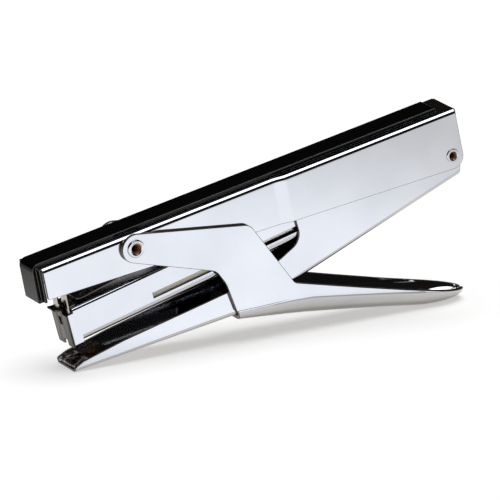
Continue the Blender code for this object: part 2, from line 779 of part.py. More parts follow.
clear_scene()
parts = collection("plier_stapler")
cutters = collection("cutters")
upper_handle = pivot("upper_handle_frame", *REAR_PIN)
arm_pivot = pivot("anvil_arm_pivot", *REAR_PIN)
magazine_pivot = pivot("magazine_pivot", *REAR_PIN)
lever_pivot = pivot("lever_pivot", *FRONT_PIN)
pusher_guide = pivot("pusher_guide", *shell(PUSHER_START, ROD_HEIGHT))

upper_channel(upper_handle)
top_rail(upper_handle)
driver(upper_handle)
leaf_spring(upper_handle)
pivots(upper_handle)
opening_spring(upper_handle)
anvil_arm(arm_pivot)
anvil_pieces(arm_pivot)
magazine_shell(magazine_pivot)
front_guide(magazine_pivot)
magazine_inside(magazine_pivot)
pusher_block(pusher_guide)
squeeze_lever(lever_pivot)
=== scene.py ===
import math

import bmesh
import bpy
from mathutils import Matrix, Vector


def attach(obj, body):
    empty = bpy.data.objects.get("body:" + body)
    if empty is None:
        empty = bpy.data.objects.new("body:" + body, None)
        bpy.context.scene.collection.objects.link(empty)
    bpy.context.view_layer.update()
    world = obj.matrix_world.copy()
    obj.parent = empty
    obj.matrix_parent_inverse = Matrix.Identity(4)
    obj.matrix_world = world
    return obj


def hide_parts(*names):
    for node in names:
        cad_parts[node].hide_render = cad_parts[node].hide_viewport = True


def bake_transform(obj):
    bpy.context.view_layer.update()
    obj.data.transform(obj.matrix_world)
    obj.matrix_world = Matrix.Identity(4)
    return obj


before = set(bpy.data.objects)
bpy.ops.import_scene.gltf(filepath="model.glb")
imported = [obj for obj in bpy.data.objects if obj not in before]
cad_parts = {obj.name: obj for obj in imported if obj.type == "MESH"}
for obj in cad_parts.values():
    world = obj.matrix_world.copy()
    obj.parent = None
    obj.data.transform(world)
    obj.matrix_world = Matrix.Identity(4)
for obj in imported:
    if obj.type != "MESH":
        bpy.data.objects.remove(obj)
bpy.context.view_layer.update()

# ---------------------------------------------------------------- camera
# A long lens about three metres off, level with a seated viewer's eyes, so that the long handles
# keep their true lengths. It looks at the middle of the stapler, a little above the table.

AIM = Vector((-0.003, -0.0076, 0.0375))
TOWARDS_CAMERA = Vector((-0.4666, -0.8280, 0.3107)).normalized()
CAMERA_DISTANCE = 3.0
FOCAL_LENGTH_MM, FARTHEST = 555, 20

lens = bpy.data.cameras.new("camera")
lens.lens = FOCAL_LENGTH_MM
lens.clip_end = FARTHEST
camera = bpy.data.objects.new("camera", lens)
bpy.context.scene.collection.objects.link(camera)
camera.location = AIM + TOWARDS_CAMERA * CAMERA_DISTANCE
camera.rotation_euler = (-TOWARDS_CAMERA).to_track_quat("-Z", "Y").to_euler()
bpy.context.scene.camera = camera
bpy.context.scene.view_settings.view_transform = "Standard"

# ---------------------------------------------------------------- studio
# A broad soft light overhead, and dark drapes round the room from the table's level up. Bright
# metal shows that room: its sides take the white of the lit table, and the faces that look up and
# back take the drapes' near black.


def linear(hex_colour):
    """Linear red, green, blue and alpha from an sRGB hex colour."""
    parts = [int(hex_colour[i : i + 2], 16) / 255 for i in (1, 3, 5)]
    return (*[c / 12.92 if c <= 0.04045 else ((c + 0.055) / 1.055) ** 2.4 for c in parts], 1.0)


def add_node(tree, kind, inputs=None, **settings):
    """A node with its settings; each input takes a number, a colour or another node's socket."""
    made = tree.nodes.new(kind)
    for name, value in settings.items():
        setattr(made, name, value)
    for name, value in (inputs or {}).items():
        if isinstance(value, bpy.types.NodeSocket):
            tree.links.new(value, made.inputs[name])
        else:
            made.inputs[name].default_value = value
    return made


CEILING = 2.4
DRAPES = "#161412"
SHARE, FROM, TO, MIXED = 0, 6, 7, 2  # sockets of a colour mix: how far, its two colours, its result
CEILING_LOW, CEILING_HIGH = 0.84, 0.90  # sines of the elevations where the light begins and is full

studio = bpy.data.worlds.new("soft box over dark drapes")
studio.use_nodes = True
bpy.context.scene.world = studio
room = studio.node_tree
way = add_node(room, "ShaderNodeTexCoord").outputs["Generated"]
height = add_node(room, "ShaderNodeSeparateXYZ", {"Vector": way}).outputs["Z"]
open_sky = add_node(
    room,
    "ShaderNodeMapRange",
    {"Value": height, "From Min": CEILING_LOW, "From Max": CEILING_HIGH},
    interpolation_type="SMOOTHSTEP",
).outputs["Result"]
light = add_node(
    room,
    "ShaderNodeMix",
    {SHARE: open_sky, FROM: linear(DRAPES), TO: (CEILING, CEILING, CEILING, 1)},
    data_type="RGBA",
)
background = room.nodes["Background"]
room.links.new(light.outputs[MIXED], background.inputs["Color"])

# The table: a sheet of opal acrylic whose glow is painted light, which keeps its shadows soft.
# Its colour is a painted pool of light round the stapler, with painted falloff to grey on the left and to a
# warm pale grey on the right.

TABLE_SIZE = 12.0
PAINTED_GLOW = 0.46
PAINTED_LIGHT_POOL, LEFT_PAINTED_FALLOFF, RIGHT_PAINTED_FALLOFF = "#FFFFFF", "#A8A29B", "#D8D5D1"
ACROSS = Vector((0.871, -0.491, 0.0))  # to the camera's right
PAINTED_FALLOFF_RUNS = ((-0.102, -0.170, LEFT_PAINTED_FALLOFF), (0.110, 0.300, RIGHT_PAINTED_FALLOFF))  # metres across, start and end
TABLE_ROUGHNESS, TABLE_SHEEN = 0.9, 0.1

bm = bmesh.new()
bmesh.ops.create_grid(bm, x_segments=1, y_segments=1, size=TABLE_SIZE / 2)
table_mesh = bpy.data.meshes.new("table")
bm.to_mesh(table_mesh)
bm.free()
table = bpy.data.objects.new("table", table_mesh)
bpy.context.scene.collection.objects.link(table)
opal = bpy.data.materials.new("pale table, painted glow and painted pool of light")
opal.use_nodes = True
tree = opal.node_tree
spot = add_node(tree, "ShaderNodeTexCoord").outputs["Object"]
across = add_node(
    tree, "ShaderNodeVectorMath", {0: spot, 1: ACROSS}, operation="DOT_PRODUCT"
).outputs["Value"]
# Painted light: the colour fades by position across the table, from the painted pool of light to the
# painted falloff greys.
painted_light_tone = linear(PAINTED_LIGHT_POOL)
for near, far, grey in PAINTED_FALLOFF_RUNS:
    painted_falloff = add_node(
        tree,
        "ShaderNodeMapRange",
        {"Value": across, "From Min": near, "From Max": far},
        interpolation_type="SMOOTHSTEP",
    ).outputs["Result"]
    painted_light_tone = add_node(
        tree, "ShaderNodeMix", {SHARE: painted_falloff, FROM: painted_light_tone, TO: linear(grey)}, data_type="RGBA"
    ).outputs[MIXED]
shader = tree.nodes["Principled BSDF"]
# Painted light: the table glows with that same painted colour.
tree.links.new(painted_light_tone, shader.inputs["Base Color"])
tree.links.new(painted_light_tone, shader.inputs["Emission Color"])
shader.inputs["Emission Strength"].default_value = PAINTED_GLOW
shader.inputs["Roughness"].default_value = TABLE_ROUGHNESS
shader.inputs["Specular IOR Level"].default_value = TABLE_SHEEN
table_mesh.materials.append(opal)

# ---------------------------------------------------------------- upper handle
# The upper handle is one sheet of 1 mm steel pressed to an inverted U, narrow over the magazine and
# stepped out behind it. It is nickel plated and then chromed, which leaves a mirror surface.

MIDDLE_X = 80.3  # side-view x of the frame's origin, in millimetres
TO_FRAME = Matrix.Scale(0.001, 4) @ Matrix.Translation((-MIDDLE_X, 0, 0))
SAME_POINT, ON_PLANE = 1e-4, 1e-5  # millimetres within which points meet, or lie on a plane


def pitched(x, z, pitch):
    """Places a drawing made flat along x, in millimetres: its corner at (x, z), tilted up by pitch."""
    return Matrix.Translation((x, 0, z)) @ Matrix.Rotation(-math.radians(pitch), 4, "Y")


def plate(corners, y=0.0, segments=8):
    """A flat face seen from the side, through corners (x, z) or (x, z, radius)."""
    bm = bmesh.new()
    verts = [bm.verts.new((corner[0], y, corner[1])) for corner in corners]
    bm.faces.new(verts)
    for vert, corner in zip(verts, corners):
        if len(corner) == 3:
            one, other = (edge.other_vert(vert).co - vert.co for edge in vert.link_edges)
            reach = corner[2] / math.tan(one.angle(other) / 2)
            bmesh.ops.bevel(
                bm,
                geom=[vert],
                offset=reach,
                affect="VERTICES",
                segments=segments,
                profile=0.5,
                material=-1,
            )
    return bm


STILL_FLAT = 0.01  # radians; triangles nearer than this to flat are joined again


def pierce(bm, holes, slot=None, steps=40):
    """Gives a flat plate round holes, each (x, z, radius), and a slot from low (x, z) to high (x, z)."""
    y = bm.verts[:][0].co.y
    bmesh.ops.delete(bm, geom=bm.faces[:], context="FACES_ONLY")
    if slot:
        (left, low), (right, high) = slot
        corners = (left, low), (right, low), (right, high), (left, high)
        ends = [bm.verts.new((x, y, z)) for x, z in corners]
        for one, other in zip(ends, ends[1:] + ends[:1]):
            bm.edges.new((one, other))
    for x, z, radius in holes:
        upright = Matrix.Translation((x, y, z)) @ Matrix.Rotation(math.pi / 2, 4, "X")
        bmesh.ops.create_circle(bm, segments=steps, radius=radius, matrix=upright)
    bmesh.ops.triangle_fill(bm, edges=bm.edges[:], use_beauty=True, use_dissolve=False)
    bmesh.ops.dissolve_limit(bm, angle_limit=STILL_FLAT, verts=bm.verts[:], edges=bm.edges[:])


def cut_across(bm, stations):
    """Cuts edges into a flat plate along upright lines."""
    for x in stations:
        everything = bm.verts[:] + bm.edges[:] + bm.faces[:]
        bmesh.ops.bisect_plane(
            bm, geom=everything, plane_co=(x, 0, 0), plane_no=(1, 0, 0), dist=ON_PLANE
        )


def spaced(first, last, count):
    return [first + (last - first) * i / count for i in range(count + 1)]


def verts_of(geom):
    return [part for part in geom if isinstance(part, bmesh.types.BMVert)]


def edges_of(geom):
    return [part for part in geom if isinstance(part, bmesh.types.BMEdge)]


def carry(bm, rim, shift):
    """Extrudes a rim by one step; shift(co) gives each new point. It returns the new rim."""
    made = bmesh.ops.extrude_edge_only(bm, edges=rim)["geom"]
    verts = set(verts_of(made))
    for vert in verts:
        vert.co = shift(vert.co)
    return [edge for edge in edges_of(made) if verts.issuperset(edge.verts)]


def fold(bm, rim, section, steps=10):
    """Carries a wall's rim through its bend: section(x, turn) gives (y, z), turn going from 0 to 1."""
    for i in range(1, steps + 1):
        rim = carry(bm, rim, lambda co: Vector((co.x, *section(co.x, i / steps))))
    return rim


def to_middle(co):
    return Vector((co.x, 0, co.z))


def both_sides(bm):
    """Mirrors a half that is open at the middle plane, and turns its faces outwards."""
    bmesh.ops.mirror(bm, geom=bm.verts[:] + bm.edges[:] + bm.faces[:], axis="Y", merge_dist=SAME_POINT)
    bmesh.ops.remove_doubles(bm, verts=bm.verts, dist=SAME_POINT)
    bmesh.ops.recalc_face_normals(bm, faces=bm.faces)
    near = min(bm.faces, key=lambda face: face.calc_center_median().y)
    if near.normal.y > 0:
        bmesh.ops.reverse_faces(bm, faces=bm.faces)


def piece(
    name, bm, body, nodes, material, place=Matrix(), gauge=0.0, edge=0.24, angle=40, offset=-1
):
    """Makes a piece of a drawing in millimetres: sheet of the given gauge, its edges broken by a bevel.

    A second material is the finish of a sheet's cut edges. A spring is given no body.
    """
    bmesh.ops.transform(bm, matrix=TO_FRAME @ place, verts=bm.verts)
    mesh = bpy.data.meshes.new(name)
    bm.to_mesh(mesh)
    bm.free()
    finishes = material if isinstance(material, tuple) else (material,)
    for finish in finishes:
        mesh.materials.append(finish)
    mesh.shade_smooth()
    made = bpy.data.objects.new(name, mesh)
    bpy.context.scene.collection.objects.link(made)
    if gauge:
        wall = made.modifiers.new("sheet gauge", "SOLIDIFY")
        wall.thickness = gauge / 1000
        wall.offset = offset
        wall.use_even_offset = True
        wall.material_offset_rim = len(finishes) - 1
    break_edges(made, edge, angle, len(finishes) - 1, not gauge)
    if body:
        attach(made, body)
    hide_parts(*nodes)
    return made


def break_edges(made, edge, angle, finish=0, clamp=True):
    """Rounds the edges sharper than angle by edge millimetres, and keeps the flats flat to the eye."""
    bevel = made.modifiers.new("broken edges", "BEVEL")
    bevel.width = edge / 1000
    bevel.segments = 2
    bevel.limit_method = "ANGLE"
    bevel.angle_limit = math.radians(angle)
    bevel.use_clamp_overlap = clamp
    bevel.material = finish
    bevel.loop_slide = False
    made.modifiers.new("flat faces", "WEIGHTED_NORMAL")


def new_material(name, colour, metallic, roughness):
    """A material, its node tree, its shader, and the point on the piece in metres."""
    made = bpy.data.materials.new(name)
    made.use_nodes = True
    tree = made.node_tree
    shader = tree.nodes["Principled BSDF"]
    shader.inputs["Base Color"].default_value = linear(colour)
    shader.inputs["Metallic"].default_value = metallic
    shader.inputs["Roughness"].default_value = roughness
    spot = add_node(tree, "ShaderNodeTexCoord").outputs["Object"]
    return made, tree, shader, spot


# Bright chrome plate over polished nickel: a mirror that wavers a little where the press worked the
# sheet, with hair-fine polishing lines along the handles and a faint haze between them.

CHROME_COLOUR, CHROME_HAZE = "#EFF3FB", "#D3D8E2"
PRESS_WAVE_MM, HAZE_MM = 9.0, 27.0
POLISH_LINE_MM, POLISH_LENGTH_MM = 0.35, 30.0  # coarser than real lines, so that they show

chrome, tree, shader, spot = new_material("bright chrome plate", CHROME_COLOUR, 1.0, 0.04)
lines = add_node(
    tree,
    "ShaderNodeMapping",
    {"Vector": spot, "Scale": (1000 / POLISH_LENGTH_MM, 1000 / POLISH_LINE_MM, 1000 / POLISH_LINE_MM)},
).outputs["Vector"]
polish = add_node(tree, "ShaderNodeTexNoise", {"Vector": lines, "Scale": 1.0, "Detail": 2.0}).outputs["Fac"]
haze = add_node(
    tree, "ShaderNodeTexNoise", {"Vector": spot, "Scale": 1000 / HAZE_MM, "Detail": 3.0}
).outputs["Fac"]
both = add_node(tree, "ShaderNodeMath", {0: polish, 1: haze}, operation="MULTIPLY").outputs[0]
rough = add_node(
    tree,
    "ShaderNodeMapRange",
    {"Value": both, "From Min": 0.1, "From Max": 0.5, "To Min": 0.025, "To Max": 0.085},
).outputs["Result"]
tree.links.new(rough, shader.inputs["Roughness"])
tint = add_node(
    tree,
    "ShaderNodeMix",
    {SHARE: haze, FROM: linear(CHROME_COLOUR), TO: linear(CHROME_HAZE)},
    data_type="RGBA",
).outputs[MIXED]
# Painted shade: the colour darkens as a face looks down. Where the sheet turns under there is a fine
# painted dark line where the bend begins, then a painted duller grey that grows browner towards the
# underside.
PAINTED_UNDERSIDE_SHADE = (
    (0.07, "#FFFFFF"),
    (0.10, "#A19E99"),
    (0.17, "#E0DBD2"),
    (0.55, "#D4CEC2"),
    (0.95, "#A0978A"),
)
facing = add_node(tree, "ShaderNodeTexCoord").outputs["Normal"]
upwards = add_node(tree, "ShaderNodeSeparateXYZ", {"Vector": facing}).outputs["Z"]
down = add_node(tree, "ShaderNodeMath", {0: upwards, 1: -1.0}, operation="MULTIPLY").outputs[0]
ramp = add_node(tree, "ShaderNodeValToRGB", {"Fac": down})
for i, (position, shade) in enumerate(PAINTED_UNDERSIDE_SHADE):
    stop = ramp.color_ramp.elements[i] if i < 2 else ramp.color_ramp.elements.new(position)
    stop.position = position
    stop.color = linear(shade)
# The painted underside shade is multiplied into the chrome's colour.
tint = add_node(
    tree,
    "ShaderNodeMix",
    {SHARE: 1.0, FROM: tint, TO: ramp.outputs["Color"]},
    data_type="RGBA",
    blend_type="MULTIPLY",
).outputs[MIXED]
tree.links.new(tint, shader.inputs["Base Color"])
wave = add_node(
    tree, "ShaderNodeTexNoise", {"Vector": spot, "Scale": 1000 / PRESS_WAVE_MM, "Detail": 1.0}
).outputs["Fac"]
bump = add_node(tree, "ShaderNodeBump", {"Height": wave, "Strength": 0.10, "Distance": 0.0001})
tree.links.new(bump.outputs["Normal"], shader.inputs["Normal"])

# A blanked edge is torn metal under the same plate, so it stays duller than the faces; its darker colour is
# painted shade, a dark line drawn along every broken edge.

TEAR_MM = 0.6

blanked_edge_painted_dark, tree, shader, spot = new_material("blanked edge under chrome, painted dark", "#6B6058", 1.0, 0.42)
tear = add_node(
    tree, "ShaderNodeTexNoise", {"Vector": spot, "Scale": 1000 / TEAR_MM, "Detail": 3.0}
).outputs["Fac"]
tint = add_node(
    tree, "ShaderNodeMix", {SHARE: tear, FROM: linear("#3A332E"), TO: linear("#8E837A")}, data_type="RGBA"
).outputs[MIXED]
tree.links.new(tint, shader.inputs["Base Color"])
# Every chromed sheet's broken edges take this painted dark line.
sheet = (chrome, blanked_edge_painted_dark)

UPPER = pitched(-15.4, 44.0, 11.478)
UPPER_GAUGE = 1.0
UPPER_BEND = 1.8
UPPER_FRONT, UPPER_BACK = 0.96, 187.8
FRONT_DEPTH, BACK_DEPTH = 12.85, 24.2
NARROW_HALF, WIDE_HALF = 8.35, 9.5
STEP_START, STEP_END = 104.0, 110.0
LIP_BEND, LIP_DEPTH, LIP_STEPS = 1.0, 3.4, 6
FRONT_PIN = (25.4, 47.0)
REAR_PIN = (167.8, 62.6)
WALL_HOLE, FRONT_HOLE = 2.3, 2.5


def in_drawing(place, x, z):
    """A side-view point in a pitched drawing's own (x, z)."""
    local = place.inverted() @ Vector((x, 0, z))
    return local.x, local.z


def between(x, low, high):
    """How far x has come from low to high, from 0 to 1."""
    return min(max((x - low) / (high - low), 0.0), 1.0)


def smooth_step(x, low, high):
    """The same, easing out of low and into high."""
    t = between(x, low, high)
    return t * t * (3 - 2 * t)


def upper_half(x):
    return NARROW_HALF + (WIDE_HALF - NARROW_HALF) * smooth_step(x, STEP_START, STEP_END)


def upper_section(x, turn):
    """The bend between the wall and the web, as (y, z) at a turn from 0 to 1."""
    angle = turn * math.pi / 2
    y = UPPER_BEND - upper_half(x) - UPPER_BEND * math.cos(angle)
    return y, UPPER_BEND * (math.sin(angle) - 1)


bm = plate(
    [
        (UPPER_FRONT, -FRONT_DEPTH, 0.8),
        (UPPER_BACK + 0.35, -BACK_DEPTH, 5.0),
        (UPPER_BACK, -UPPER_BEND),
        (UPPER_FRONT, -UPPER_BEND),
    ]
)
pierce(
    bm,
    [(*in_drawing(UPPER, *FRONT_PIN), FRONT_HOLE), (*in_drawing(UPPER, *REAR_PIN), WALL_HOLE)],
)
cut_across(bm, spaced(STEP_START, STEP_END, 10))
for vert in bm.verts:
    vert.co.y = -upper_half(vert.co.x)
rim = [
    edge for edge in bm.edges if all(abs(vert.co.z + UPPER_BEND) < SAME_POINT for vert in edge.verts)
]
rim = fold(bm, rim, upper_section)
carry(bm, rim, to_middle)
lip = [
    edge
    for edge in bm.edges
    if all(abs(vert.co.z) < SAME_POINT and vert.co.x > UPPER_BACK - 0.1 for vert in edge.verts)
]
for i in range(1, LIP_STEPS + 1):
    angle = i / LIP_STEPS * math.pi / 2
    turn = Vector((UPPER_BACK + LIP_BEND * math.sin(angle), 0, LIP_BEND * (math.cos(angle) - 1)))
    lip = carry(bm, lip, lambda co: Vector((turn.x, co.y, turn.z)))
carry(bm, lip, lambda co: Vector((co.x, co.y, -LIP_DEPTH)))
both_sides(bm)
piece("handle_channel", bm, "upper_handle", ["upper_channel"], sheet, UPPER, UPPER_GAUGE)

# ---------------------------------------------------------------- rail
# The rail is a black moulded rib that snaps along the top of the upper handle and turns down over
# its front end, where a wider skirt covers the sheet's edge. It is gloss ABS.

RAIL_HALF = 5.4
RAIL_TOP, RAIL_UNDER = 1.88, 0.3
RAIL_FRONT, RAIL_BACK = -2.08, 181.5
RAIL_DROP = 14.3
SKIRT_FRONT, SKIRT_BACK = -0.44, 0.61
SKIRT_HALF = 8.3
SKIRT_LOW = -13.7

# Gloss black ABS, moulded: almost a mirror, softened by a grain drawn coarser than the mould's own.

MOULD_GRAIN_MM = 0.5

abs_black, tree, shader, spot = new_material("gloss black ABS", "#070708", 0.0, 0.14)
shader.inputs["IOR"].default_value = 1.54
shader.inputs["Specular IOR Level"].default_value = 0.25
grain = add_node(
    tree, "ShaderNodeTexNoise", {"Vector": spot, "Scale": 1000 / MOULD_GRAIN_MM, "Detail": 2.0}
).outputs["Fac"]
rough = add_node(
    tree,
    "ShaderNodeMapRange",
    {"Value": grain, "From Min": 0.3, "From Max": 0.7, "To Min": 0.10, "To Max": 0.16},
).outputs["Result"]
tree.links.new(rough, shader.inputs["Roughness"])
bump = add_node(tree, "ShaderNodeBump", {"Height": grain, "Strength": 0.05, "Distance": 0.00002})
tree.links.new(bump.outputs["Normal"], shader.inputs["Normal"])

# The rail's edges are painted greyer than its faces, in blotches: a painted highlight along each edge.

EDGE_BLOTCH_MM = 6.0

abs_edge_painted_highlight, tree, shader, spot = new_material("ABS edge, painted highlight", "#4A4A4C", 0.0, 0.25)
highlight_blotches = add_node(
    tree, "ShaderNodeTexNoise", {"Vector": spot, "Scale": 1000 / EDGE_BLOTCH_MM, "Detail": 3.0}
).outputs["Fac"]
tint = add_node(
    tree, "ShaderNodeMix", {SHARE: highlight_blotches, FROM: linear("#262628"), TO: linear("#747474")}, data_type="RGBA"
).outputs[MIXED]
tree.links.new(tint, shader.inputs["Base Color"])


def thicken(bm, low, high):
    """Gives a flat plate thickness across the stapler, from y = low to y = high."""
    faces = bm.faces[:]
    for vert in bm.verts:
        vert.co.y = low
    made = bmesh.ops.extrude_face_region(bm, geom=faces)["geom"]
    for vert in verts_of(made):
        vert.co.y = high
    bmesh.ops.recalc_face_normals(bm, faces=bm.faces)


bm = plate(
    [
        (RAIL_BACK, RAIL_UNDER),
        (RAIL_BACK, RAIL_TOP, 0.7),
        (RAIL_FRONT, RAIL_TOP, 3.0),
        (RAIL_FRONT, -RAIL_DROP, 0.7),
        (SKIRT_BACK, -RAIL_DROP),
        (SKIRT_BACK, RAIL_UNDER),
    ]
)
thicken(bm, -RAIL_HALF, RAIL_HALF)
for co, normal in (
    ((SKIRT_FRONT, 0, 0), (1, 0, 0)),
    ((0, 0, SKIRT_LOW), (0, 0, 1)),
    ((0, 0, RAIL_UNDER), (0, 0, 1)),
):
    everything = bm.verts[:] + bm.edges[:] + bm.faces[:]
    bmesh.ops.bisect_plane(bm, geom=everything, plane_co=co, plane_no=normal, dist=ON_PLANE)
wings = [
    face
    for face in bm.faces
    if abs(face.normal.y) > 0.9
    and SKIRT_FRONT < face.calc_center_median().x < SKIRT_BACK
    and SKIRT_LOW < face.calc_center_median().z < RAIL_UNDER
]
for side in (-1, 1):
    faces = [face for face in wings if face.is_valid and face.normal.y * side > 0.9]
    made = bmesh.ops.extrude_face_region(bm, geom=faces)["geom"]
    for vert in verts_of(made):
        vert.co.y = side * SKIRT_HALF
    bmesh.ops.delete(bm, geom=faces, context="FACES_ONLY")
bmesh.ops.recalc_face_normals(bm, faces=bm.faces)
# The rail's broken edges take the painted highlight.
piece(
    "rail",
    bm,
    "upper_handle",
    ["top_rail"],
    (abs_black, abs_edge_painted_highlight),
    UPPER,
    edge=0.22,
    angle=50,
)

# ---------------------------------------------------------------- driver and leaf spring
# The driver is a hardened, nickel plated strip that hangs under the channel's web and pushes out one
# staple. The leaf spring behind it is oil-tempered, and keeps the magazine down. Both are riveted.

# Nickel plate over a drawn blank: a warm, soft silver with draw lines that run down it.

DRAW_LINE_MM, DRAW_LENGTH_MM = 0.45, 14.0  # coarser than real lines, so that they show

nickel, tree, shader, spot = new_material("drawn nickel plate", "#B9AFA3", 1.0, 0.2)
lines = add_node(
    tree,
    "ShaderNodeMapping",
    {"Vector": spot, "Scale": (1000 / DRAW_LINE_MM, 1000 / DRAW_LINE_MM, 1000 / DRAW_LENGTH_MM)},
).outputs["Vector"]
streak = add_node(tree, "ShaderNodeTexNoise", {"Vector": lines, "Scale": 1.0, "Detail": 3.0}).outputs["Fac"]
rough = add_node(
    tree,
    "ShaderNodeMapRange",
    {"Value": streak, "From Min": 0.3, "From Max": 0.7, "To Min": 0.12, "To Max": 0.3},
).outputs["Result"]
tree.links.new(rough, shader.inputs["Roughness"])
tint = add_node(
    tree, "ShaderNodeMix", {SHARE: streak, FROM: linear("#8E8378"), TO: linear("#D6CFC5")}, data_type="RGBA"
).outputs[MIXED]
tree.links.new(tint, shader.inputs["Base Color"])
bump = add_node(tree, "ShaderNodeBump", {"Height": streak, "Strength": 0.2, "Distance": 0.00003})
tree.links.new(bump.outputs["Normal"], shader.inputs["Normal"])

# Bright drawn steel: wire and strip as they leave the die, an even silver with fine lines along them.

bright_steel, tree, shader, spot = new_material("bright drawn steel", "#C9C9C7", 1.0, 0.22)
lines = add_node(
    tree,
    "ShaderNodeMapping",
    {"Vector": spot, "Scale": (1000 / DRAW_LENGTH_MM, 1000 / DRAW_LINE_MM, 1000 / DRAW_LINE_MM)},
).outputs["Vector"]
streak = add_node(tree, "ShaderNodeTexNoise", {"Vector": lines, "Scale": 1.0, "Detail": 3.0}).outputs["Fac"]
rough = add_node(
    tree,
    "ShaderNodeMapRange",
    {"Value": streak, "From Min": 0.3, "From Max": 0.7, "To Min": 0.14, "To Max": 0.32},
).outputs["Result"]
tree.links.new(rough, shader.inputs["Roughness"])

# Oil-tempered spring steel: the oil burns on to a dark grey skin, in patches.

SKIN_PATCH_MM = 4.0

spring_steel, tree, shader, spot = new_material("oil-tempered spring steel", "#6E6A66", 1.0, 0.28)
patches = add_node(
    tree, "ShaderNodeTexNoise", {"Vector": spot, "Scale": 1000 / SKIN_PATCH_MM, "Detail": 4.0}
).outputs["Fac"]
tint = add_node(
    tree,
    "ShaderNodeMix",
    {SHARE: patches, FROM: linear("#524E4C"), TO: linear("#8A8580")},
    data_type="RGBA",
).outputs[MIXED]
tree.links.new(tint, shader.inputs["Base Color"])
rough = add_node(
    tree,
    "ShaderNodeMapRange",
    {"Value": patches, "From Min": 0.3, "From Max": 0.7, "To Min": 0.2, "To Max": 0.4},
).outputs["Result"]
tree.links.new(rough, shader.inputs["Roughness"])


def strip(line, half, segments=10):
    """A strip of sheet across the stapler along an open side-view line (x, z) or (x, z, radius).

    The line is drawn as one side of a tall plate, whose far corners are then cut away.
    """
    far_off, margin = 60.0, 20.0
    (first_x, first_z), (last_x, last_z) = line[0], line[-1]
    bm = plate([*line, (last_x + 3, last_z + far_off), (first_x - 3, first_z + far_off)], -half, segments)
    far = [vert for vert in bm.verts if vert.co.z > max(first_z, last_z) + far_off - margin]
    bmesh.ops.delete(bm, geom=far, context="VERTS")
    made = bmesh.ops.extrude_edge_only(bm, edges=bm.edges[:])["geom"]
    for vert in verts_of(made):
        vert.co.y = half
    return bm


def blank(corners, window, x):
    """A blanked sheet that stands across the stapler at x, with corners (y, z) or (y, z, radius)."""
    bm = plate(corners)
    pierce(bm, [], window)
    for vert in bm.verts:
        vert.co = Vector((x, vert.co.x, vert.co.z))
    return bm


def bend_over(bm, height, centre, radius, start, turn, reach, steps=8):
    """Bends a blank's top edge, at height, round centre (x, z) from angle start, and runs on by reach."""
    rim = [edge for edge in bm.edges if all(abs(vert.co.z - height) < SAME_POINT for vert in edge.verts)]
    for i in range(1, steps + 1):
        angle = math.radians(start + turn * i / steps)
        x, z = centre[0] + radius * math.cos(angle), centre[1] + radius * math.sin(angle)
        rim = carry(bm, rim, lambda co: Vector((x, co.y, z)))
    on = math.copysign(reach, turn)
    carry(bm, rim, lambda co: co + Vector((-on * math.sin(angle), 0, on * math.cos(angle))))


def face_forward(bm):
    """Turns an open sheet so that its upright face looks forward."""
    bmesh.ops.recalc_face_normals(bm, faces=bm.faces)
    if sum(face.normal.x * face.calc_area() for face in bm.faces) > 0:
        bmesh.ops.reverse_faces(bm, faces=bm.faces)


WELD_GAP = 2e-6  # metres


def keep(node, material, edge=0.1, angle=35, rim=None):
    """A piece that keeps its shape, welded and finished; rim is the finish of its broken edges."""
    kept = bpy.data.objects[node]
    kept.data.materials.clear()
    kept.data.materials.append(material)
    if rim:
        kept.data.materials.append(rim)
    kept.data.shade_smooth()
    weld = kept.modifiers.new("weld", "WELD")
    weld.merge_threshold = WELD_GAP
    break_edges(kept, edge, angle, 1 if rim else 0)


BLADE_HALF, BLADE_GAUGE, BLADE_FRONT = 6.2, 0.6, 9.1
BLADE_TIP, BLADE_CORNER, BLADE_TOP = -26.2, 0.3, -2.8
BLADE_BEND, FOOT_LENGTH = 1.5, 11.4
BLADE_WINDOW = ((-1.9, -20.5), (1.9, -8.0))
bm = blank(
    [
        (-BLADE_HALF, BLADE_TIP, BLADE_CORNER),
        (BLADE_HALF, BLADE_TIP, BLADE_CORNER),
        (BLADE_HALF, BLADE_TOP),
        (-BLADE_HALF, BLADE_TOP),
    ],
    BLADE_WINDOW,
    BLADE_FRONT,
)
bend_over(bm, BLADE_TOP, (BLADE_FRONT + BLADE_BEND, BLADE_TOP), BLADE_BEND, 180, -90, FOOT_LENGTH)
face_forward(bm)
piece("driver", bm, "upper_handle", ["driver_blade"], nickel, UPPER, BLADE_GAUGE, edge=0.08)

LEAF_HALF, LEAF_GAUGE = 4.0, 0.6
LEAF_LINE = [(14.5, -18.6), (17.0, -19.1, 4.0), (62.0, -13.4, 60.0), (93.0, -1.6, 40.0), (110.0, -1.6)]
bm = strip(LEAF_LINE, LEAF_HALF)
leaf = piece(
    "leaf",
    bm,
    None,
    ["leaf_spring"],
    spring_steel,
    UPPER,
    LEAF_GAUGE,
    edge=0.12,
    offset=0,
)
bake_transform(leaf)
keep("driver_rivet", bright_steel)
keep("leaf_spring_rivet", bright_steel)

# ---------------------------------------------------------------- pivots
# Two tubular rivets hold the stapler together. Each is a plated steel tube whose ends are rolled
# over against the sheet; inside, the tube has stayed bare and brown.

# Steel that plating didn't reach: a thin, even brown oxide with paler specks.

OXIDE_PATCH_MM = 0.8

brown_bore, tree, shader, spot = new_material("oxidised bore", "#8F6040", 0.35, 0.4)
patches = add_node(
    tree, "ShaderNodeTexNoise", {"Vector": spot, "Scale": 1000 / OXIDE_PATCH_MM, "Detail": 3.0}
).outputs["Fac"]
tint = add_node(
    tree,
    "ShaderNodeMix",
    {SHARE: patches, FROM: linear("#5E3B26"), TO: linear("#BE8A62")},
    data_type="RGBA",
).outputs[MIXED]
tree.links.new(tint, shader.inputs["Base Color"])


